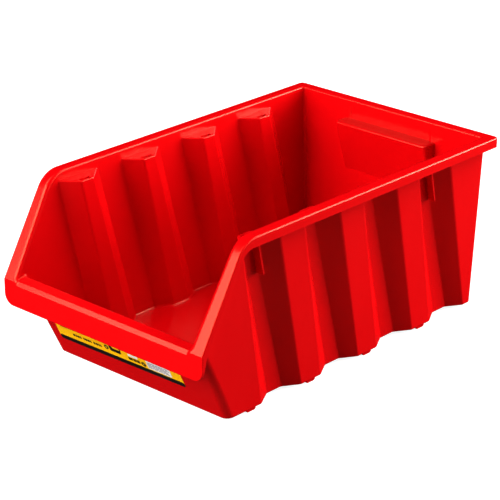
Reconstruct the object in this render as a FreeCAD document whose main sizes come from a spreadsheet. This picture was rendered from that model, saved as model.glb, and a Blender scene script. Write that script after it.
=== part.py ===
import FreeCAD, Part
import math
import os
import re
import Sketcher

# Open-front stacking storage bin, moulded in one piece, with a film label on the front wall.
# Millimetres.  +Z up, +Y to the rear, +X to the right seen from the front.
# Origin: middle of the overall length and width, on the plane the feet rest on.

Vector = FreeCAD.Vector
Rotation = FreeCAD.Rotation
doc = FreeCAD.newDocument("StorageBin")

# ---------------------------------------------------------------- driving sizes
SIZES = {
    # rim and lip
    "half_length": 170.0,         # front lip face to rear skirt face, halved
    "half_width": 103.0,          # skirt face to skirt face, halved
    "rim_top": 146.0,             # top of the rim above the resting plane
    "plate": 2.0,                 # thickness of flange, skirt and lip
    "skirt_drop": 7.9,            # height of the rim skirt
    "slope_skirt": 5.2,           # height of the skirt on the slope, square to it
    "skirt_foot_drop": 2.6,       # the sloping skirt ends this far below slope_foot_z
    "slope_top_y": -126.8,        # where the slope would meet the rim top
    "slope_foot_z": 71.7,         # where the slope meets the lip face
    "lip_top": 71.73,             # where the lip's top plane would meet the lip face
    "lip_pitch": 11.2,            # degrees, the lip top rises to the rear
    "lip_bevel_z": 68.9,          # lower edge of the bevel from lip top to lip face
    "lip_bevel_soft": 0.5,        # round at the top of that bevel
    "lip_edge": 1.6,              # round along the inner edge of the lip
    "lip_plate_extra": 0.6,       # added to plate under the lip top
    "lip_bottom": 50.9,           # lower edge of the front lip
    "lip_side_z": 58.2,           # where the side skirt starts to leave the lip
    "bend_radius": 22.0,          # rim to slope
    "skirt_bend_radius": 14.0,    # the same bend on the skirt's lower edge
    "lip_corner": 9.0,            # lower corners of the lip
    "rim_corner": 4.0,            # rear corners of the rim, in plan
    "rim_level_round": 1.6,       # inner edge of the level rim
    "rim_inner_round": 3.4,       # inner edge of the slope
    "rim_outer_round": 1.5,
    "lip_face_round": 0.9,
    # tub
    "base_z": 2.7,                # underside of the floor
    "tub_half_width": 89.06,      # floor outline: half width, front edge, rear edge
    "tub_front": -128.9,
    "tub_rear": 161.06,
    "side_draft": 2.45,           # degrees, each side wall
    "rear_draft": 0.83,           # degrees, rear wall
    "front_lean": 25.2,           # degrees, front wall
    "wall": 2.2,
    "floor_thick": 2.3,
    "corner_rear": 3.0,           # upright outside corners: rear, then front, tapering off upwards
    "corner_front_low": 6.5,
    "corner_front_high": 1.2,
    "corner_in": 2.4,             # upright corners inside
    "bottom_round": 1.3,          # floor edge outside
    "floor_round": 2.0,           # floor edge inside
    # flutes: Y from the flute's front edge at the floor, and depth of the bed (innermost face),
    # "low" at the floor plane and "high" at the ledge plane
    "ledge_z": 138.4,             # tops of the inner ribs
    "flute_first": -92.2,         # front edge of the first flute at the floor
    "flute_pitch": 66.5,
    "flute_low_bed_front": 15.0,
    "flute_low_bed_rear": 30.9,
    "flute_low_mouth_rear": 44.2,
    "flute_low_depth": 8.4,
    "flute_high_mouth_front": -28.3,
    "flute_high_bed_front": -16.9,
    "flute_high_bed_rear": -5.4,
    "flute_high_mouth_rear": 10.3,
    "flute_high_depth": 13.4,
    "rib_gain": 0.7,              # how much wider the inner rib is than its flute, each edge
    "mouth_round": 3.0,           # flute edges outside: mouth and bed
    "valley_round": 2.2,
    "rib_root_round": 2.6,        # rib edges inside: at the wall, at the nose, round the top
    "rib_nose_round": 3.6,
    "ledge_round": 0.8,
    # grooves in the rib tops
    "groove_len": 10.5,
    "groove_wide": 3.2,
    "groove_deep": 1.5,
    "groove_inset": 1.6,          # from the nose of the rib
    # gusset tabs under the rim
    "gusset_inner_x": 80.0,
    "gusset_outer_x": 88.0,
    "gusset_low": 105.0,
    "gusset_thick": 1.6,
    "gusset_inset": 1.4,          # ahead of the rear edge of the flute bed
    "draw_lean": 12.5,            # degrees
    # rear hang pocket, its recess seen from behind, and the shallow niche above it
    "pocket_half": 47.0,
    "pocket_top": 129.7,
    "pocket_depth": 14.0,
    "pocket_low": 86.0,
    "pocket_side_round": 3.0,
    "pocket_brow_round": 1.5,
    "recess_side_round": 1.5,
    "recess_wall_gain": 1.07,     # times wall, along Y through the slanting face
    "niche_half": 42.0,
    "niche_deep": 0.9,
    "niche_flare": 12.1,          # each end of the niche: wider at its front by this
    "niche_taper": 1.5,           # and narrower at its back by this
    "niche_top_drop": 5.5,        # top of the niche below the rim top
    # feet
    "foot_front": 14.5,           # front of the foot ahead of its flute
    "foot_long": 9.6,
    "foot_inner_x": 84.4,
    "foot_outer_x": 87.2,
    "foot_chamfer": 1.1,
    "foot_overlap": 1.1,          # into the floor
    # label
    "label_wide": 132.0,
    "label_tall": 31.0,
    "label_thick": 0.25,
    "label_corner": 2.0,
    "label_gap": 0.02,            # between the film and the wall
    "label_x": -10.0,
    "label_low": 20.7,
    "label_skew": 1.0,            # degrees
    # how far helper solids run past the faces they cut or join
    "clearance": 20.0,
    "flute_reach": 14.0,          # flute mouths, outside the panel
    "flute_under": 6.0,           # flutes, below the floor
    "groove_over": 6.0,           # grooves, above the ledge
    "recess_reach": 25.0,         # pocket recess, behind the inner rear wall
    "niche_reach": 4.0,           # niche, ahead of the inner rear wall
    "lip_zone_low": 40.0,         # bottom of the two blocks at the lip
    "lip_zone_deep": 30.0,        # lip plate block, along Y
    "mouth_reach": 30.0,          # mouth block, ahead of the lip face
    "mouth_rear": -100.0,         # rear of the mouth block
    "lip_overrun": 0.3,           # solid under the lip, ahead of the lip face
    "lip_solid_front": 40.0,      # solids under the lip plane, ahead of the lip face
    "lip_solid_rear": 80.0,       # and behind it
    "lip_solid_half": 130.0,      # and their half width
}
sheet = doc.addObject("Spreadsheet::Sheet", "sizes")
for row, (alias, amount) in enumerate(SIZES.items(), start=1):
    sheet.set(f"A{row}", alias)
    sheet.set(f"B{row}", repr(amount))
    sheet.setAlias(f"B{row}", alias)
doc.recompute()


def linked(text):
    """expression text with its bare alias names turned into sheet references"""
    return re.sub(r"\b[a-z]\w*", lambda word: "sizes." * (word[0] in SIZES) + word[0], text)


def value(text):
    """value of an expression now, as a float"""
    result = sheet.evalExpression(linked(text))
    return float(getattr(result, "Value", result))


def bind(obj, **expressions):
    """bind properties to expressions; a double underscore stands for a dot"""
    for prop, text in expressions.items():
        obj.setExpression(prop.replace("__", "."), linked(text))


# ---------------------------------------------------------------- building blocks
def settle(*objects):
    """recompute, then stop if any of the objects did not build"""
    doc.recompute()
    for obj in objects:
        failed = any(state in ("Invalid", "Error") for state in obj.State)
        if failed or obj.Shape.isNull() or not obj.Shape.isValid():
            raise RuntimeError(f"{obj.Name} did not build: {obj.State}")


def polygon(body, name, role, points, offset=None):
    """closed polygon sketch; every corner is dimensioned from the origin by an expression"""
    sketch = body.newObject("Sketcher::SketchObject", name)
    plane = [part for part in body.Origin.OriginFeatures if part.Role == role][0]
    sketch.AttachmentSupport = [(plane, "")]
    sketch.MapMode = "FlatFace"
    if offset is not None:
        bind(sketch, AttachmentOffset__Base__z=offset)
    corners = [Vector(value(across), value(up), 0) for across, up in points]
    count = len(corners)
    for i in range(count):
        sketch.addGeometry(Part.LineSegment(corners[i], corners[(i + 1) % count]), False)
    for i in range(count):
        sketch.addConstraint(Sketcher.Constraint("Coincident", i, 2, (i + 1) % count, 1))
    for i in range(count):
        for kind, number, text in (("DistanceX", corners[i].x, points[i][0]),
                                   ("DistanceY", corners[i].y, points[i][1])):
            index = sketch.addConstraint(Sketcher.Constraint(kind, -1, 1, i, 1, number))
            sketch.setExpression(f"Constraints[{index}]", linked(text))
    return sketch


def loft(name, low, low_z, high, high_z):
    """ruled loft between two plan outlines"""
    body = doc.addObject("PartDesign::Body", name)
    low_sketch = polygon(body, name + "_low", "XY_Plane", low, low_z)
    high_sketch = polygon(body, name + "_high", "XY_Plane", high, high_z)
    feature = body.newObject("PartDesign::AdditiveLoft", name + "_loft")
    feature.Profile = low_sketch
    feature.Sections = [high_sketch]
    feature.Ruled = True
    return body


def side_prism(name, points, half):
    """side-view (Y, Z) outline pushed out evenly to both sides"""
    body = doc.addObject("PartDesign::Body", name)
    sketch = polygon(body, name + "_outline", "YZ_Plane", points)
    feature = body.newObject("PartDesign::Pad", name + "_pad")
    feature.Profile = sketch
    feature.Midplane = True
    bind(feature, Length=f"({half}) * 2")
    return body


def block(name, z_low, z_high, half_at, front_at, rear_at):
    """drafted block; half width, front and rear are functions of height"""
    wedge = doc.addObject("Part::Wedge", name)
    wedge.Placement = FreeCAD.Placement(Vector(0, 0, 0), Rotation(Vector(1, 0, 0), 90))
    bind(wedge, Placement__Base__z=z_low, Ymin="0", Ymax=f"({z_high}) - ({z_low})",
         Xmin=f"-({half_at(z_low)})", Xmax=half_at(z_low),
         X2min=f"-({half_at(z_high)})", X2max=half_at(z_high),
         Zmin=f"-({rear_at(z_low)})", Zmax=f"-({front_at(z_low)})",
         Z2min=f"-({rear_at(z_high)})", Z2max=f"-({front_at(z_high)})")
    return wedge


def box(name, length, width, height, x, y, z, rotation=None):
    solid = doc.addObject("Part::Box", name)
    if rotation is not None:
        solid.Placement = FreeCAD.Placement(Vector(0, 0, 0), rotation)
    bind(solid, Length=length, Width=width, Height=height,
         Placement__Base__x=x, Placement__Base__y=y, Placement__Base__z=z)
    return solid


def flute_start(index):
    return f"flute_first + {index} * flute_pitch"


def flute_boxes(name, indices, length, width, height, inner_x, y_offset, z, rotation=None):
    """a box at each of the given flutes, on both sides of the bin"""
    boxes = []
    for side, x in (("right", inner_x), ("left", f"-{inner_x} - ({length})")):
        for index in indices:
            boxes.append(box(f"{name}_{side}_{index + 1}", length, width, height,
                             x, f"{flute_start(index)} + {y_offset}", z, rotation))
    return boxes


def mirrored_pair(name, bodies):
    """compound of the right-hand bodies, and its mirror image"""
    right = doc.addObject("Part::Compound", name + "_right")
    right.Links = bodies
    left = doc.addObject("Part::Mirroring", name + "_left")
    left.Source = right
    left.Normal = Vector(1, 0, 0)
    return [right, left]


def cut(name, base, tool):
    result = doc.addObject("Part::Cut", name)
    result.Base = base
    result.Tool = tool
    return result


def fuse(name, *shapes):
    result = doc.addObject("Part::MultiFuse", name)
    result.Shapes = list(shapes)
    result.Refine = True
    return result


# ---------------------------------------------------------------- picking and rounding edges
TALL = 50          # a wall-high edge rises more than this
POCKET_TALL = 30   # and a pocket-high edge more than this
FLUTE_ZONE = 150   # flute edges lie within this of the middle, along Y


def near(first, second, tolerance=0.05):
    return abs(first - second) <= tolerance


class Span:
    """an edge with its middle and end points"""

    def __init__(self, edge):
        self.edge = edge
        self.start = edge.Vertexes[0].Point
        self.end = edge.Vertexes[-1].Point
        self.mid = edge.valueAt((edge.FirstParameter + edge.LastParameter) / 2)
        self.points = (self.mid, self.start, self.end)
        self.rise = abs(self.start.z - self.end.z)

    def flat_at(self, z, tolerance=0.05):
        return all(near(point.z, z, tolerance) for point in self.points)


def rounded(name, base, *rules):
    """Part::Fillet; each rule is (test on a Span, radius).
    The radius is a number, a pair for the two ends, or a function of the Span giving a pair."""
    doc.recompute()
    spans = [Span(edge) for edge in base.Shape.Edges]
    picks = []
    for test, radius in rules:
        for number, span in enumerate(spans, start=1):
            if test(span):
                radii = radius(span) if callable(radius) else radius
                picks.append((number, *(radii if isinstance(radii, tuple) else (radii, radii))))
    fillet = doc.addObject("Part::Fillet", name)
    fillet.Base = base
    fillet.Edges = picks
    settle(fillet)
    return fillet


def flute_edge(span):
    return span.rise > TALL and abs(span.mid.y) < FLUTE_ZONE


def panel_x(z):
    """outer face of the side panel at height z, as a number"""
    return value("tub_half_width") + (z - value("base_z")) * math.tan(
        math.radians(value("side_draft")))


def inside_x(z):
    return panel_x(z) - value("wall")


def crease(y, z):
    """test for a long edge along X at a given place of the side view"""
    return lambda span: (near(span.mid.y, y, 0.3) and near(span.mid.z, z, 0.3)
                         and near(span.mid.x, 0, 0.5) and span.edge.Length > 50)


# ---------------------------------------------------------------- recurring expressions
def draft(z):
    return f"(({z} - base_z) * tan(side_draft * 1 deg))"


def side_out(z):
    return f"tub_half_width + {draft(z)}"


def side_in(z):
    return f"(tub_half_width - wall + {draft(z)})"


def front_out(z):
    return f"(tub_front - ({z} - base_z) * tan(front_lean * 1 deg))"


def front_in(z):
    return f"({front_out(z)} + wall / cos(front_lean * 1 deg))"


def rear_out(z):
    return f"(tub_rear + ({z} - base_z) * tan(rear_draft * 1 deg))"


def rear_in(z):
    return f"({rear_out(z)} - wall)"


SLOPE_LENGTH = "sqrt((rim_top - slope_foot_z)^2 + (slope_top_y + half_length)^2)"
SLOPE_NORMAL_Y = f"((rim_top - slope_foot_z) / {SLOPE_LENGTH})"
SLOPE_RUN = "((slope_top_y + half_length) / (rim_top - slope_foot_z))"   # y per z
FLOOR_TOP = "(base_z + floor_thick)"
OVER = "(rim_top + clearance)"
SKIRT_Z = "(rim_top - skirt_drop)"
LIP_BACK = "(-half_length + plate)"
POCKET_WALL = rear_in("pocket_top")      # inner rear wall at the top and foot of the pocket
POCKET_FOOT = rear_in("pocket_low")


def slope_y(z, inset):
    """y on the slope plane moved inward by inset, at height z"""
    return f"(slope_top_y - (rim_top - ({z})) * {SLOPE_RUN} + {inset} / {SLOPE_NORMAL_Y})"


def slope_z(y, inset):
    """height of the slope plane moved inward by inset, at y"""
    return f"(rim_top - (slope_top_y + {inset} / {SLOPE_NORMAL_Y} - ({y})) / {SLOPE_RUN})"


def lip_z(y, drop="0"):
    """height of the lip's top plane, lowered by drop, at y measured from the lip face"""
    return f"(lip_top + ({y}) * tan(lip_pitch * 1 deg) - ({drop}) / cos(lip_pitch * 1 deg))"


# ---------------------------------------------------------------- flutes and ribs
def flute_outline(index, z, grow):
    """plan outline of a right-hand flute at height z, its mouth carried past the panel;
    grow 0 gives the outside recess, grow 1 the rib that shows inside"""
    share = f"(({z} - base_z) / (ledge_z - base_z))"

    def between(low, high):
        return f"(({low}) + (({high}) - ({low})) * {share})"

    def edge_y(low, high, sign):
        return f"({flute_start(index)} + {between(low, high)} {sign} rib_gain * {grow})"

    mouth_front = edge_y("0", "flute_high_mouth_front", "-")
    bed_front = edge_y("flute_low_bed_front", "flute_high_bed_front", "-")
    bed_rear = edge_y("flute_low_bed_rear", "flute_high_bed_rear", "+")
    mouth_rear = edge_y("flute_low_mouth_rear", "flute_high_mouth_rear", "+")
    panel = f"(tub_half_width + {draft(z)} - wall * {grow})"
    bed = f"({panel} - {between('flute_low_depth', 'flute_high_depth')})"
    out = f"({panel} + flute_reach)"
    return [(bed, bed_front), (bed, bed_rear), (panel, mouth_rear),
            (out, mouth_rear), (out, mouth_front), (panel, mouth_front)]


def flutes(name, grow, z_high):
    """all eight flute solids: four lofts and their mirror images"""
    z_low = "(base_z - flute_under)"
    lofts = [loft(f"{name}_{index + 1}", flute_outline(index, z_low, grow), z_low,
                  flute_outline(index, z_high, grow), z_high) for index in range(4)]
    both = doc.addObject("Part::Compound", name + "_all")
    both.Links = mirrored_pair(name, lofts)
    return both


# ---------------------------------------------------------------- outside of the tub
def make_tub():
    tub = block("tub_outside", "base_z", "rim_top", side_out, front_out, rear_out)
    low, high = value("corner_front_low"), value("corner_front_high")

    def front_corner(span):
        return span.rise > TALL and span.mid.y < 0

    corners = rounded(
        "tub_corners", tub,
        (lambda span: span.rise > TALL and span.mid.y > 0, value("corner_rear")),
        (lambda span: front_corner(span) and span.start.z < span.end.z, (high, low)),
        (lambda span: front_corner(span) and span.start.z > span.end.z, (low, high)))
    fluted = cut("tub_fluted", corners, flutes("flute", 0, "(ledge_z - wall)"))
    settle(fluted)

    def mouth_edge(span):
        return flute_edge(span) and near(abs(span.mid.x), panel_x(span.mid.z), 0.4)

    def bed_edge(span):
        return flute_edge(span) and abs(span.mid.x) < panel_x(span.mid.z) - 5

    soft = rounded("tub_soft", fluted, (mouth_edge, value("mouth_round")),
                   (bed_edge, value("valley_round")))
    base_z = value("base_z")
    return rounded("tub_round", soft,
                   (lambda span: span.flat_at(base_z), value("bottom_round")))


# ---------------------------------------------------------------- the solid taken away inside
def make_open_hollow():
    """inside of the tub joined with the open mouth over the lip"""
    inside = block("inside", FLOOR_TOP, OVER, side_in, front_in, rear_in)
    mouth_block = block("mouth_block", "lip_zone_low", OVER, side_in,
                        lambda z: "-(half_length + mouth_reach)", lambda z: "mouth_rear")
    # the bevel lies parallel to the slope
    bevel_y = f"((lip_top - lip_bevel_z) / (1 / {SLOPE_RUN} - tan(lip_pitch * 1 deg)))"
    face_y = "-half_length - lip_overrun"
    under_lip = side_prism("under_lip", [
        (face_y, "-clearance"),
        (face_y, f"lip_bevel_z - lip_overrun / {SLOPE_RUN}"),
        (f"-half_length + {bevel_y}", lip_z(bevel_y)),
        ("-half_length + lip_solid_rear", lip_z("lip_solid_rear")),
        ("-half_length + lip_solid_rear", "-clearance")], "lip_solid_half")
    zone_low = value("lip_zone_low")

    def level_at_middle(span):
        return near(span.mid.x, 0) and near(span.start.z, span.end.z)

    crown = rounded("lip_crown", under_lip, (
        lambda span: level_at_middle(span) and span.mid.y < -165 and span.mid.z > zone_low,
        value("lip_bevel_soft")))
    hollow = fuse("hollow", inside, cut("mouth", mouth_block, crown))
    settle(hollow)
    hollow = rounded("hollow_lip", hollow, (
        lambda span: level_at_middle(span) and -165 < span.mid.y < -150, value("lip_edge")))

    # upright corners, without the outer borders of the two blocks
    lowest = value(FLOOR_TOP) + 0.5
    highest = value(OVER) - 1
    foremost = 1 - value("half_length + mouth_reach")

    def side_corner(span):
        return (all(near(abs(point.x), inside_x(point.z)) for point in span.points)
                and lowest < span.mid.z < highest
                and not near(span.mid.z, zone_low) and span.mid.y > foremost)

    return rounded("hollow_side", hollow, (side_corner, value("corner_in")))


def make_ribbed_hollow():
    """the open hollow less the ribs and the hang pocket, with their edges rounded"""
    open_hollow = make_open_hollow()
    ribs = flutes("rib", 1, "ledge_z")
    pocket = side_prism("pocket_block", [
        (f"{POCKET_WALL} + clearance", "pocket_top"),
        (f"{POCKET_WALL} - pocket_depth", "pocket_top"),
        (POCKET_FOOT, "pocket_low"),
        (f"{POCKET_FOOT} + clearance", "pocket_low")], "pocket_half")
    hollow = cut("hollow_cut", cut("hollow_ribbed", open_hollow, ribs), pocket)
    settle(hollow)

    def rib_root(span):
        return (flute_edge(span) and near(abs(span.mid.x), inside_x(span.mid.z), 0.4)
                and span.edge.Curve.TypeId == "Part::GeomBSplineCurve")

    def rib_nose(span):
        return flute_edge(span) and 60 < abs(span.mid.x) < inside_x(span.mid.z) - 5

    hollow = rounded("hollow_soft", hollow, (rib_root, value("rib_root_round")),
                     (rib_nose, value("rib_nose_round")))
    floor_top, ledge = value(FLOOR_TOP), value("ledge_z")
    hollow = rounded("hollow_floor", hollow, (
        lambda span: span.flat_at(floor_top, 0.02), value("floor_round")))
    hollow = rounded("hollow_ledge", hollow, (
        lambda span: span.flat_at(ledge, 0.02) and abs(span.mid.x) < inside_x(ledge) - 0.5,
        value("ledge_round")))
    half, top, wall_y = value("pocket_half"), value("pocket_top"), value(POCKET_WALL)
    hollow = rounded("hollow_pocket", hollow, (
        lambda span: (near(abs(span.start.x), half) and near(abs(span.end.x), half)
                      and span.rise > POCKET_TALL and span.mid.y < wall_y - 3),
        value("pocket_side_round")))
    return rounded("hollow_brow", hollow, (
        lambda span: (near(span.mid.z, top) and near(span.start.z, top)
                      and span.mid.y < wall_y - 0.5),
        value("pocket_brow_round")))


def make_hollow():
    """everything taken away inside: the hollow, the rib-top grooves and the niche"""
    hollow = make_ribbed_hollow()
    grooves = flute_boxes(
        "groove", range(4), "groove_wide", "groove_len", "groove_deep + groove_over",
        f"({side_out('ledge_z')} - wall - flute_high_depth + groove_inset)",
        "(flute_high_bed_front + flute_high_bed_rear) / 2 - groove_len / 2",
        "ledge_z - groove_deep")
    niche_front = f"{POCKET_WALL} - niche_reach"
    niche_back = f"{POCKET_WALL} + niche_deep"
    niche_plan = [("-niche_half - niche_flare", niche_front),
                  ("niche_half + niche_flare", niche_front),
                  ("niche_half - niche_taper", niche_back),
                  ("-niche_half + niche_taper", niche_back)]
    niche = loft("niche", niche_plan, "pocket_top", niche_plan, "rim_top - niche_top_drop")
    everything = fuse("hollow_all", hollow, *grooves, niche)
    settle(everything)
    return everything


# ---------------------------------------------------------------- rim flange, skirt and lip
def make_rim():
    """rim shell, and the solid under the slope that trims the tub to it"""
    slope_front = ("-half_length", slope_z("-half_length", "0"))
    skirt_foot = "slope_foot_z - skirt_foot_drop"
    skirt_bend_y = slope_y(SKIRT_Z, "slope_skirt")
    inner_bend_y = slope_y("rim_top - plate", "plate")
    outer = side_prism("rim_block", [
        ("half_length", "rim_top"), ("slope_top_y", "rim_top"), slope_front,
        ("-half_length", "lip_bottom"), (LIP_BACK, "lip_bottom"), (LIP_BACK, "lip_side_z"),
        (slope_y(skirt_foot, "slope_skirt"), skirt_foot),
        (skirt_bend_y, SKIRT_Z), ("half_length", SKIRT_Z)], "half_width")
    inner = side_prism("rim_hollow", [
        ("half_length - plate", "rim_top - plate"), (inner_bend_y, "rim_top - plate"),
        (LIP_BACK, slope_z(LIP_BACK, "plate")), (LIP_BACK, "-clearance"),
        ("half_length - plate", "-clearance")], "half_width - plate")
    under = side_prism("under_slope", [
        ("half_length", "rim_top"), ("slope_top_y", "rim_top"), slope_front,
        ("-half_length", "-clearance"), ("half_length", "-clearance")],
        "half_width + clearance")
    settle(outer, inner, under)

    half_length, half_width = value("half_length"), value("half_width")
    plate, rim_top, lip_bottom = value("plate"), value("rim_top"), value("lip_bottom")
    top_crease = crease(value("slope_top_y"), rim_top)
    bend_radius = value("bend_radius")
    outer = rounded("rim_bent", outer, (top_crease, bend_radius), (
        crease(value(skirt_bend_y), value(SKIRT_Z)), value("skirt_bend_radius")))
    outer = rounded(
        "rim_cornered", outer,
        (lambda span: (near(span.mid.y, half_length) and near(abs(span.mid.x), half_width)
                       and span.rise > 3), value("rim_corner")),
        (lambda span: (near(span.mid.z, lip_bottom) and near(abs(span.mid.x), half_width)
                       and near(abs(span.start.y - span.end.y), plate)), value("lip_corner")))
    inner = rounded(
        "hollow_bent", inner,
        (crease(value(inner_bend_y), rim_top - plate), bend_radius - plate),
        (lambda span: (near(span.mid.y, half_length - plate)
                       and near(abs(span.mid.x), half_width - plate)
                       and span.rise > 30), value("rim_corner") - plate))
    under = rounded("under_bent", under, (top_crease, bend_radius))
    return cut("rim_shell", outer, inner), under


def make_lip_plate():
    """plate behind the lip face that carries its top plane"""
    half = f"({side_in('lip_top')} + wall)"
    blank = box("lip_box", f"2 * {half}", "lip_zone_deep", "rim_top",
                f"-{half}", "-half_length", "lip_zone_low")
    drop = "plate + lip_plate_extra"
    below = side_prism("lip_under", [
        ("-half_length - lip_solid_front", lip_z("-lip_solid_front", drop)),
        ("-half_length + lip_solid_rear", lip_z("lip_solid_rear", drop)),
        ("-half_length + lip_solid_rear", "-clearance"),
        ("-half_length - lip_solid_front", "-clearance")], "lip_solid_half")
    return cut("lip_plate", blank, below)


def make_recess():
    """recess of the hang pocket seen from behind"""
    recess = side_prism("pocket_recess", [
        (f"{POCKET_WALL} + recess_reach", "pocket_top - wall"),
        (f"{POCKET_WALL} - pocket_depth + wall * recess_wall_gain", "pocket_top - wall"),
        (f"{POCKET_FOOT} + wall * recess_wall_gain", "pocket_low"),
        (f"{POCKET_FOOT} + recess_reach", "pocket_low")], "pocket_half - wall")
    half, wall_y = value("pocket_half - wall"), value(POCKET_WALL)
    return rounded("recess_round", recess, (
        lambda span: (span.rise > POCKET_TALL and span.mid.y < wall_y - 2
                      and near(abs(span.start.x), half)), value("recess_side_round")))


def make_shell():
    """tub and rim joined and hollowed out"""
    tub = make_tub()
    hollow = make_hollow()
    rim_shell, under_slope = make_rim()
    lip_plate = make_lip_plate()
    recessed = cut("tub_recessed", tub, make_recess())
    lipped = fuse("tub_lipped", recessed, lip_plate)
    trimmed = doc.addObject("Part::Common", "trimmed")
    trimmed.Base = lipped
    trimmed.Tool = under_slope
    solid = fuse("solid", rim_shell, trimmed)
    shell = cut("shell", solid, hollow)
    settle(rim_shell, lip_plate, recessed, lipped, trimmed, solid, shell)
    return shell


# ---------------------------------------------------------------- rounds along the rim
def round_rim(shell):
    rim_top, bend_radius, corner = value("rim_top"), value("bend_radius"), value("rim_corner")
    half_length, half_width = value("half_length"), value("half_width")
    bend_y, slope_foot, side_z = value("slope_top_y"), value("slope_foot_z"), value("lip_side_z")
    slope_angle = math.atan2(rim_top - slope_foot, bend_y + half_length)
    center_y = bend_y + bend_radius * math.tan(slope_angle / 2)
    center_z = rim_top - bend_radius

    def on_top(point):
        """point lies on the upper face of the flange: level, bend or slope"""
        if point.y > center_y - 0.01:
            return near(point.z, rim_top, 0.06)
        if near(math.hypot(point.y - center_y, point.z - center_z), bend_radius, 0.06):
            return True
        return near((point.y + half_length) * math.sin(slope_angle)
                    - (point.z - slope_foot) * math.cos(slope_angle), 0, 0.06)

    def top_edge(span):
        return all(on_top(point) for point in span.points) and not near(span.mid.y, -half_length)

    def on_border(span):
        across, y = abs(span.mid.x), span.mid.y
        return (near(across, half_width, 0.06) or near(y, half_length, 0.06)
                or (across > half_width - corner and y > half_length - corner))

    def inner_edge(ends_at_top):
        """test for an edge round the opening with that many ends on the level rim"""
        return lambda span: (
            top_edge(span) and not on_border(span)
            and abs(span.mid.x) < 94.5 and span.mid.y < 162.5
            and sum(end.z > rim_top - 0.01 for end in (span.start, span.end)) == ends_at_top)

    level, slope = value("rim_level_round"), value("rim_inner_round")
    rim_soft = rounded(
        "rim_soft", shell,
        (inner_edge(2), level),
        (inner_edge(0), slope),
        (lambda span: top_edge(span) and on_border(span), value("rim_outer_round")),
        # the bends run from one radius to the other
        (inner_edge(1),
         lambda span: (slope, level) if span.start.z > span.end.z else (level, slope)))

    def face_edge(span):
        return (all(near(point.y, -half_length) for point in span.points)
                and (span.mid.z < side_z
                     or (abs(span.mid.x) > half_width - 0.05 and span.mid.z < slope_foot - 2)))

    return rounded("lip_soft", rim_soft, (face_edge, value("lip_face_round")))


# ---------------------------------------------------------------- gusset tabs and feet
def make_gussets():
    """leaning tabs in the first and last flute of each side"""
    bed_rear = ("flute_low_bed_rear + (flute_high_bed_rear - flute_low_bed_rear)"
                " * (gusset_low - base_z) / (ledge_z - base_z)")
    return flute_boxes(
        "gusset", (0, 3), "gusset_outer_x - gusset_inner_x", "gusset_thick",
        "(ledge_z - wall / 2 - gusset_low) / cos(draw_lean * 1 deg)",
        "gusset_inner_x", f"{bed_rear} - gusset_inset - gusset_thick / 2", "gusset_low",
        Rotation(Vector(1, 0, 0), value("draw_lean")))


def make_foot(index):
    name = f"foot_{index + 1}"
    body = doc.addObject("PartDesign::Body", name)
    front = f"({flute_start(index)} - foot_front)"
    rear = f"({front} + foot_long)"
    sketch = polygon(body, name + "_side", "YZ_Plane", [
        (front, "base_z + foot_overlap"), (front, "foot_chamfer"),
        (f"{front} + foot_chamfer", "0"), (f"{rear} - foot_chamfer", "0"),
        (rear, "foot_chamfer"), (rear, "base_z + foot_overlap")], "foot_inner_x")
    feature = body.newObject("PartDesign::Pad", name + "_pad")
    feature.Profile = sketch
    bind(feature, Length="foot_outer_x - foot_inner_x")
    return body


def make_bin():
    shell = round_rim(make_shell())
    gussets = make_gussets()
    feet = mirrored_pair("feet", [make_foot(index) for index in range(4)])
    whole = fuse("bin_body", shell, *gussets, *feet)
    whole.Label = "bin_body"
    settle(whole)
    return whole


# ---------------------------------------------------------------- film label on the front wall
def make_label():
    blank = box("label_blank", "label_wide", "label_thick", "label_tall",
                "-label_wide / 2", "-label_thick - label_gap", "0")
    thick = value("label_thick")
    label = rounded("front_label", blank, (
        lambda span: near(span.edge.Length, thick, 0.01), value("label_corner")))
    label.Label = "front_label"
    lean = Rotation(Vector(1, 0, 0), value("front_lean"))
    skew = Rotation(Vector(0, 1, 0), -value("label_skew"))
    label.Placement = FreeCAD.Placement(
        Vector(value("label_x"), value(front_out("label_low")), value("label_low")),
        lean.multiply(skew))
    settle(label)
    return label


# ---------------------------------------------------------------- build, check and write
parts = [make_bin(), make_label()]
for obj in doc.Objects:
    if any(state in ("Invalid", "Error") for state in obj.State):
        raise RuntimeError(f"{obj.Name} failed: {obj.State}")
for part in parts:
    settle(part)
    if len(part.Shape.Solids) != 1:
        raise RuntimeError(f"{part.Label} has {len(part.Shape.Solids)} solids")
os.makedirs("parts", exist_ok=True)
for part in parts:
    part.Shape.exportStep(f"parts/{part.Label}.step")
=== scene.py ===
"""A red moulded plastic bin with a printed yellow label on its front wall, on a studio floor.

The front faces -Y, +X is to the right and +Z is up. Lengths are in metres, except the label
print, which is laid out in mm: x from the middle of the label to the right, y up from its
lower edge.
"""
import bpy
import bmesh
import math
import numpy as np
from mathutils import Matrix, Vector


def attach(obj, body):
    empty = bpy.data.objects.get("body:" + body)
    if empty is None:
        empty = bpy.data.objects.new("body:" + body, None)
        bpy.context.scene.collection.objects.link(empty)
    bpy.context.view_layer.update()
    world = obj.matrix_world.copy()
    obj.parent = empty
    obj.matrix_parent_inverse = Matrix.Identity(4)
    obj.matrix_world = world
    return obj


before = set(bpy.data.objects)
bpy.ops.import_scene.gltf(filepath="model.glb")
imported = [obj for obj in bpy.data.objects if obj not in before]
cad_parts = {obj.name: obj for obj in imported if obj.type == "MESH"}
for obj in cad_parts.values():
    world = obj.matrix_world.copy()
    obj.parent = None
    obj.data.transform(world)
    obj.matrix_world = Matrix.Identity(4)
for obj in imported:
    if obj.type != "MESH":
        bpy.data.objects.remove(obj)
bpy.context.view_layer.update()
bin_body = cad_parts["bin_body"]
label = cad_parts["front_label"]
scene = bpy.context.scene


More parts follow.
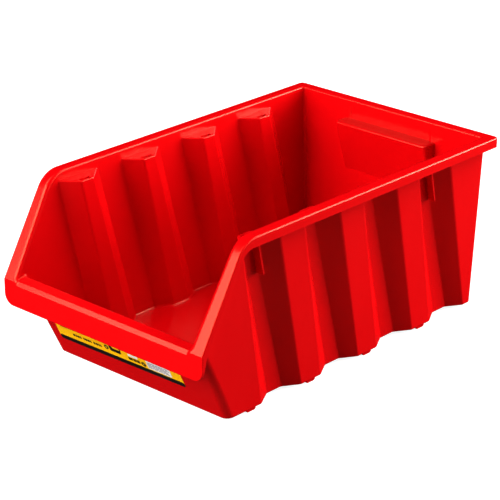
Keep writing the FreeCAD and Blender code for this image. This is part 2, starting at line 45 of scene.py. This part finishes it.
# ------------------------------------------------------------------ shader node helpers
class Nodes:
    """Builds the node tree of a material or world; inputs take a constant or another socket."""

    def __init__(self, owner):
        owner.use_nodes = True
        self.tree = owner.node_tree
        self.tree.nodes.clear()
        self.next_x = 0

    def feed(self, socket, value):
        if isinstance(value, bpy.types.NodeSocket):
            self.tree.links.new(value, socket)
        elif socket.type == "RGBA":
            socket.default_value = (*value, 1.0)
        else:
            socket.default_value = value

    def add(self, kind, inputs=None, **settings):
        node = self.tree.nodes.new(kind)
        node.location = (self.next_x, 0)
        self.next_x += 180
        for key, value in settings.items():
            setattr(node, key, value)
        for key, value in (inputs or {}).items():
            self.feed(node.inputs[key], value)
        return node

    def math(self, operation, first, second, clamp=False):
        node = self.add("ShaderNodeMath", {0: first, 1: second},
                        operation=operation, use_clamp=clamp)
        return node.outputs[0]

    def remap(self, value, source, target):
        """Clamped map from the range source to the range target."""
        node = self.add("ShaderNodeMapRange", {
            "Value": value, "From Min": source[0], "From Max": source[1],
            "To Min": target[0], "To Max": target[1]}, clamp=True)
        return node.outputs["Result"]

    def noise(self, vector, scale, detail=2.0, rough=0.5, distortion=0.0):
        node = self.add("ShaderNodeTexNoise", {
            "Vector": vector, "Scale": scale, "Detail": detail, "Roughness": rough,
            "Distortion": distortion})
        return node.outputs["Fac"]

    def mix(self, factor, first, second):
        # the colour sockets of a Mix node are inputs 6 and 7 and output 2
        node = self.add("ShaderNodeMix", {0: factor, 6: first, 7: second}, data_type="RGBA")
        return node.outputs[2]

    def edges(self, radius, gain):
        """0 on flat faces, towards 1 on tight convex or concave edges."""
        geometry = self.add("ShaderNodeNewGeometry")
        bevel = self.add("ShaderNodeBevel", {"Radius": radius}, samples=4)
        dot = self.add("ShaderNodeVectorMath",
                       {0: geometry.outputs["Normal"], 1: bevel.outputs["Normal"]},
                       operation="DOT_PRODUCT")
        bend = self.math("SUBTRACT", 1.0, dot.outputs["Value"], clamp=True)
        return self.math("MULTIPLY", bend, gain, clamp=True)

    def coordinates(self, stretch):
        """Object coordinates, plain and scaled; a scale under 1 draws the pattern out."""
        plain = self.add("ShaderNodeTexCoord").outputs["Object"]
        drawn = self.add("ShaderNodeMapping", {"Vector": plain, "Scale": stretch})
        return plain, drawn.outputs["Vector"]

    def output(self, shader, kind="ShaderNodeOutputMaterial"):
        self.add(kind, {"Surface": shader.outputs[0]})

    def glossy_surface(self, colour, rough, bump, finish):
        shader = self.add("ShaderNodeBsdfPrincipled", {
            "Base Color": colour, "Roughness": rough, "Normal": bump.outputs["Normal"], **finish})
        self.output(shader)


# ------------------------------------------------------------------ materials
def red_plastic():
    """Moulded red polypropylene with melt flow along the height and rubbed edges."""
    material = bpy.data.materials.new("red_moulded_pp")
    n = Nodes(material)
    plain, drawn = n.coordinates(stretch=(1.0, 1.0, 0.25))
    cloud = n.noise(plain, scale=14.0, detail=3.0, rough=0.55)
    flow = n.noise(drawn, scale=55.0, detail=4.0, rough=0.6, distortion=0.6)
    peel = n.noise(plain, scale=260.0)
    grain = n.noise(plain, scale=1900.0, detail=3.0, rough=0.6)
    scuff = n.noise(drawn, scale=900.0, detail=5.0, rough=0.7, distortion=1.2)
    edge = n.edges(radius=0.0011, gain=9.0)

    colour = n.mix(n.remap(cloud, source=(0.3, 0.7), target=(0.0, 1.0)),
                   first=(0.615, 0.0016, 0.0040), second=(0.58, 0.0013, 0.0034))
    colour = n.mix(n.remap(flow, source=(0.35, 0.75), target=(0.0, 0.22)),
                   first=colour, second=(0.65, 0.0022, 0.0052))
    rub = n.math("MULTIPLY", edge, n.remap(scuff, source=(0.50, 0.72), target=(0.0, 0.5)),
                 clamp=True)
    colour = n.mix(rub, first=colour, second=(0.68, 0.030, 0.026))

    rough = n.remap(cloud, source=(0.25, 0.75), target=(0.185, 0.215))
    rough = n.math("ADD", rough, n.remap(flow, source=(0.3, 0.8), target=(-0.015, 0.03)))
    rough = n.math("ADD", rough, n.math("MULTIPLY", rub, 0.12))

    # relief: the share of each pattern in the bump height
    height = n.math("ADD", n.math("MULTIPLY", peel, 0.9), n.math("MULTIPLY", grain, 0.10))
    height = n.math("ADD", height, n.math("MULTIPLY", flow, 0.6))
    bump = n.add("ShaderNodeBump", {"Height": height, "Strength": 0.05, "Distance": 0.00004})
    n.glossy_surface(colour, rough, bump, finish={
        "IOR": 1.49, "Specular IOR Level": 0.27, "Specular Tint": (1.0, 0.95, 0.56)})
    return material


def film(name, colour, cloud_colour, rough):
    """Printed film: clouded colour, fibres across the label and slightly darker edges."""
    material = bpy.data.materials.new(name)
    n = Nodes(material)
    plain, drawn = n.coordinates(stretch=(0.3, 1.0, 1.0))
    cloud = n.noise(plain, scale=40.0, detail=3.0, rough=0.6)
    fibre = n.noise(drawn, scale=1400.0, detail=3.0, rough=0.6)
    edge = n.edges(radius=0.0004, gain=5.0)

    fibre_colour = tuple(min(1.0, c * 1.15 + 0.01) for c in colour)
    edge_colour = tuple(c * 0.55 for c in colour)
    base = n.mix(n.remap(cloud, source=(0.3, 0.7), target=(0.0, 1.0)),
                 first=colour, second=cloud_colour)
    base = n.mix(n.remap(fibre, source=(0.45, 0.8), target=(0.0, 0.10)),
                 first=base, second=fibre_colour)
    base = n.mix(n.math("MULTIPLY", edge, 0.25), first=base, second=edge_colour)
    roughness = n.remap(fibre, source=(0.2, 0.8), target=(rough - 0.04, rough + 0.05))

    # relief: the share of each pattern in the bump height
    bump = n.add("ShaderNodeBump", {"Strength": 0.10, "Distance": 0.00006})
    height = n.math("ADD", n.math("MULTIPLY", cloud, 1.0), n.math("MULTIPLY", fibre, 0.2))
    n.feed(bump.inputs["Height"], height)
    n.glossy_surface(base, roughness, bump, finish={
        "IOR": 1.5, "Specular IOR Level": 0.25, "Coat Weight": 0.06, "Coat Roughness": 0.12})
    return material


def assign(obj, material):
    if not obj.material_slots:
        obj.data.materials.append(material)
    for slot in obj.material_slots:
        slot.material = material


assign(bin_body, red_plastic())
assign(label, film("label_yellow_film", colour=(1.0, 0.56, 0.004),
                   cloud_colour=(0.97, 0.53, 0.003), rough=0.36))
black = film("print_black", colour=(0.010, 0.007, 0.005),
             cloud_colour=(0.016, 0.012, 0.010), rough=0.34)
olive = film("print_olive", colour=(0.085, 0.050, 0.003),
             cloud_colour=(0.065, 0.040, 0.003), rough=0.38)
white = film("print_white", colour=(0.86, 0.83, 0.80),
             cloud_colour=(0.80, 0.77, 0.76), rough=0.36)
grey = film("print_grey", colour=(0.30, 0.28, 0.30),
            cloud_colour=(0.36, 0.34, 0.36), rough=0.40)
light = film("print_light", colour=(0.93, 0.66, 0.10),
             cloud_colour=(0.90, 0.62, 0.09), rough=0.38)


# ------------------------------------------------------------------ label frame
# The label's two longest directions give its axes: across to the right, and up.
corners = np.array([vertex.co for vertex in label.data.vertices], float)
main_axes = np.linalg.svd(corners - corners.mean(0), full_matrices=False)[2]
across, up = Vector(main_axes[0]), Vector(main_axes[1])
if across.x < 0:
    across = -across
if up.z < 0:
    up = -up
outward = across.cross(up)            # out of the wall, to the front

along = corners @ np.array(across)
label_middle = (along.min() + along.max()) / 2
label_bottom = (corners @ np.array(up)).min()
label_face = (corners @ np.array(outward)).max()


def on_label(x, y, lift):
    """The point at (x, y) mm on the label, lift mm in front of its face."""
    return (across * (label_middle + x / 1000) + up * (label_bottom + y / 1000)
            + outward * (label_face + lift / 1000))


# ------------------------------------------------------------------ print outlines, in mm
def rounded_rect(left, bottom, right, top, radius, steps=4):
    radius = min(radius, (right - left) / 2.001, (top - bottom) / 2.001)
    points = []
    for x, y, start in ((right - radius, bottom + radius, -90), (right - radius, top - radius, 0),
                        (left + radius, top - radius, 90), (left + radius, bottom + radius, 180)):
        for i in range(steps + 1):
            angle = math.radians(start + 90 * i / steps)
            points.append((x + radius * math.cos(angle), y + radius * math.sin(angle)))
    return points


def disc(centre, radius, steps=28):
    x, y = centre
    return [(x + radius * math.cos(2 * math.pi * i / steps),
             y + radius * math.sin(2 * math.pi * i / steps)) for i in range(steps)]


def words(left, right, bottom, tall, lengths):
    """A row of plain dashes that stands for a line of print; lengths are relative."""
    gap = 0.55
    x, dashes = left, []
    for length in lengths:
        wide = (right - left) * length / sum(lengths) - gap
        dashes.append(rounded_rect(x, bottom, x + wide, bottom + tall, radius=0.25, steps=2))
        x += wide + gap
    return dashes


def mesh_object(name, bm, material):
    mesh = bpy.data.meshes.new(name)
    bm.to_mesh(mesh)
    bm.free()
    obj = bpy.data.objects.new(name, mesh)
    scene.collection.objects.link(obj)
    mesh.materials.append(material)
    return obj


def printed(name, outlines, material, low=-0.03, high=0.045):
    """Thin closed plates, one per outline, from low to high mm in front of the label face."""
    bm = bmesh.new()
    for points in outlines:
        back = [bm.verts.new(on_label(x, y, low)) for x, y in points]
        face = [bm.verts.new(on_label(x, y, high)) for x, y in points]
        count = len(points)
        bm.faces.new(face)
        bm.faces.new(list(reversed(back)))
        for i in range(count):
            j = (i + 1) % count
            bm.faces.new((back[i], back[j], face[j], face[i]))
    bmesh.ops.recalc_face_normals(bm, faces=bm.faces)
    obj = mesh_object(name, bm, material)
    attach(obj, "root")


# ------------------------------------------------------------------ label print, in mm
BAND_HALF = 66.0                      # half the length of the band along the lower edge
TEXT_LEFT, TEXT_RIGHT = -60.5, -19.0  # main text on the left half
TEXT_TALL = 2.4
LOWER_DISC, RIGHT_DISC, UPPER_DISC = (-12.0, 11.2), (26.3, 8.1), (-12.0, 20.6)
GREY_LEFT = 31.0                      # left edge of the grey print on the large white panel

# left, right, bottom, relative dash lengths
BLACK_LINES = (
    (-48.8, -39.2, 8.6, (3, 2, 3, 2)),
    (-37.6, -28.3, 8.6, (2, 3, 3, 2)),
    (-26.6, -17.3, 8.6, (3, 3, 2, 2)),
    (TEXT_LEFT, TEXT_RIGHT, 14.8, (5, 3, 6, 4, 5, 3)),
)
# x, y of a plain pictogram: an open tray seen from the side
TRAY = [(-8.9, 15.6), (-8.2, 9.6), (-7.2, 9.0), (2.3, 9.0), (3.2, 9.6),
        (4.2, 21.0), (3.0, 22.0), (2.2, 12.4), (-4.6, 12.4), (-6.9, 16.4)]
# relative dash lengths of the small rows on the large white panel, from the bottom up
SMALL_ROWS = ((6, 4, 7, 5), (5, 7, 4, 6), (7, 3, 6), (4, 5, 6, 4), (6, 6, 3))
# right, bottom, relative dash lengths of the rows on the small white panel
PANEL_ROWS = ((24.2, 18.0, (5, 4)), (22.0, 20.4, (3, 5)), (23.4, 22.8, (4, 4)))


def black_print():
    shapes = [rounded_rect(-BAND_HALF, 0.0, BAND_HALF, 4.6, radius=1.6)]
    for left, right, bottom, lengths in BLACK_LINES:
        shapes += words(left, right, bottom, TEXT_TALL, lengths)
    shapes += [rounded_rect(TEXT_LEFT, 20.5, TEXT_RIGHT, 26.6, radius=1.2), TRAY]
    shapes += words(left=-8.6, right=6.0, bottom=24.2, tall=1.8, lengths=(3, 2, 3))
    printed("label_print_black", shapes, black)


def olive_print():
    shapes = [disc(LOWER_DISC, radius=2.35)]
    shapes += words(left=10.6, right=23.2, bottom=7.0, tall=2.9, lengths=(4, 3, 3))
    shapes += [disc(RIGHT_DISC, radius=2.3), disc(UPPER_DISC, radius=3.1)]
    printed("label_print_olive", shapes, olive)


def white_print():
    printed("label_print_white", [
        rounded_rect(11.2, 10.9, 21.6, 13.4, radius=0.4),
        rounded_rect(30.2, 5.5, 55.0, 27.6, radius=0.8),
        rounded_rect(11.2, 16.2, 25.4, 27.6, radius=0.8),
    ], white, high=0.05)


def grey_print():
    """Small rows and a strip of upright strokes on the white panels."""
    shapes = []
    for i, lengths in enumerate(SMALL_ROWS):
        shapes += words(GREY_LEFT, right=54.2 - 1.6 * (i % 3), bottom=6.7 + 1.25 * i,
                        tall=0.75, lengths=lengths)
    stroke_pitch, stroke_widths = 1.75, (0.5, 0.9, 0.35)
    for i in range(14):
        left = GREY_LEFT + i * stroke_pitch
        shapes.append(rounded_rect(left, 18.4, left + stroke_widths[i % 3], 25.6,
                                   radius=0.1, steps=2))
    for right, bottom, lengths in PANEL_ROWS:
        shapes += words(12.4, right, bottom, tall=0.9, lengths=lengths)
    printed("label_print_grey", shapes, grey, low=0.0, high=0.085)


def light_dots():
    """A light dot in the middle of each olive disc."""
    dots = ((LOWER_DISC, 0.7), (RIGHT_DISC, 0.65), (UPPER_DISC, 1.6))
    printed("label_print_dots", [disc(centre, radius, steps=20) for centre, radius in dots],
            light, low=0.0, high=0.085)


black_print()
olive_print()
white_print()
grey_print()
light_dots()


# ------------------------------------------------------------------ floor and world
FLOOR_BOUNCE = 0.12                   # floor brightness for diffuse light on the bin
FLOOR_MIRROR = 0.04                   # floor brightness in reflections
FLOOR_GLOW = 0.90                     # light added to the floor, for the camera only
WORLD_DARK = 0.004                    # world strength for all but the camera
FLOOR_HALF = 40.0


def floor_material():
    material = bpy.data.materials.new("stage_floor")
    n = Nodes(material)
    plain = n.add("ShaderNodeTexCoord").outputs["Object"]
    cloud = n.noise(plain, scale=3.0)
    colour = n.mix(n.remap(cloud, source=(0.3, 0.7), target=(0.0, 1.0)),
                   first=(0.36,) * 3, second=(0.34,) * 3)
    ray = n.add("ShaderNodeLightPath").outputs
    unseen = n.mix(ray["Is Glossy Ray"], first=(FLOOR_BOUNCE,) * 3, second=(FLOOR_MIRROR,) * 3)
    colour = n.mix(ray["Is Camera Ray"], first=unseen, second=colour)
    diffuse = n.add("ShaderNodeBsdfDiffuse", {"Color": colour})
    glow = n.add("ShaderNodeEmission", {"Color": (1.0, 1.0, 1.0)})
    n.feed(glow.inputs["Strength"], n.math("MULTIPLY", ray["Is Camera Ray"], FLOOR_GLOW))
    n.output(n.add("ShaderNodeAddShader", {0: diffuse.outputs[0], 1: glow.outputs[0]}))
    return material


def floor():
    bm = bmesh.new()
    bmesh.ops.create_grid(bm, x_segments=2, y_segments=2, size=FLOOR_HALF)
    mesh_object("stage_floor", bm, floor_material())


def studio_world():
    """White to the camera, nearly dark to everything else."""
    world = bpy.data.worlds.new("studio")
    scene.world = world
    n = Nodes(world)
    background = n.add("ShaderNodeBackground", {"Color": (1.0, 1.0, 1.0)})
    ray = n.add("ShaderNodeLightPath").outputs
    strength = n.remap(ray["Is Camera Ray"], source=(0.0, 1.0), target=(WORLD_DARK, 1.0))
    n.feed(background.inputs["Strength"], strength)
    n.output(background, kind="ShaderNodeOutputWorld")


floor()
studio_world()


# ------------------------------------------------------------------ lights
# Each light is one panel of a dome round the bin, 30 degrees wide and about 20 high.
DOME_CENTRE = Vector((0.0, 0.0, 0.07))
DOME_RADIUS = 2.0
PANEL_HALF_ANGLE = math.radians(15)
PANEL_HIGH = 0.705

# name, azimuth and elevation in degrees, power in watts
PANELS = (
    ("light_rear_right_low", 150, 12, 43.5),
    ("light_rear_right_mid", 150, 32, 24.6),
    ("light_rear_right_high", 150, 52, 11.6),
    ("light_right_low", 120, 12, 16.8),
    ("light_right_high", 120, 52, 5.0),
    ("light_right_side", 90, 12, 2.4),
    ("light_front_low", 0, 9, 13.0),
    ("light_front_mid", 0, 32, 27.0),
    ("light_front_high", 0, 72, 1.9),
    ("light_front_left_low", -30, 12, 17.5),
    ("light_front_left_mid", -30, 32, 13.7),
    ("light_front_left_high", -30, 52, 10.5),
)


def direction(azimuth, elevation):
    """Unit vector from the bin; azimuth 0 is the front and 90 the right side."""
    a, e = math.radians(azimuth), math.radians(elevation)
    return Vector((math.sin(a) * math.cos(e), -math.cos(a) * math.cos(e), math.sin(e)))


def panel(name, azimuth, elevation, power):
    back = direction(azimuth, elevation)
    data = bpy.data.lights.new(name, "AREA")
    data.shape = "RECTANGLE"
    data.size = (2 * DOME_RADIUS * math.tan(PANEL_HALF_ANGLE)
                 * math.cos(math.radians(elevation)))
    data.size_y = PANEL_HIGH
    data.energy = power
    obj = bpy.data.objects.new(name, data)
    obj.location = DOME_CENTRE + back * DOME_RADIUS
    obj.rotation_mode = "QUATERNION"
    obj.rotation_quaternion = (-back).to_track_quat("-Z", "Y")
    scene.collection.objects.link(obj)


for entry in PANELS:
    panel(*entry)


# ------------------------------------------------------------------ camera
CAMERA_PLACE = (1.00976, -1.12173, 0.69813)
CAMERA_AZIMUTH, CAMERA_ELEVATION, CAMERA_ROLL = 42.20, 22.54, 0.347    # degrees


def camera():
    data = bpy.data.cameras.new("camera")
    obj = bpy.data.objects.new("camera", data)
    scene.collection.objects.link(obj)
    forward = -direction(CAMERA_AZIMUTH, CAMERA_ELEVATION)
    level = forward.cross(Vector((0, 0, 1))).normalized()
    upright = level.cross(forward)
    roll = math.radians(CAMERA_ROLL)
    right = level * math.cos(roll) + upright * math.sin(roll)
    top = upright * math.cos(roll) - level * math.sin(roll)
    turn = Matrix((right, top, -forward)).transposed().to_4x4()
    obj.matrix_world = Matrix.Translation(CAMERA_PLACE) @ turn
    data.sensor_width = 36.0          # mm, as is the lens
    data.sensor_fit = "HORIZONTAL"
    data.lens = 151.46424
    data.clip_start, data.clip_end = 0.05, 200.0
    scene.camera = obj


camera()
scene.view_settings.view_transform = "Standard"
scene.view_settings.look = "None"
scene.view_settings.gamma = 0.85      # darker mid-tones, for a touch more contrast

bpy.context.view_layer.update()
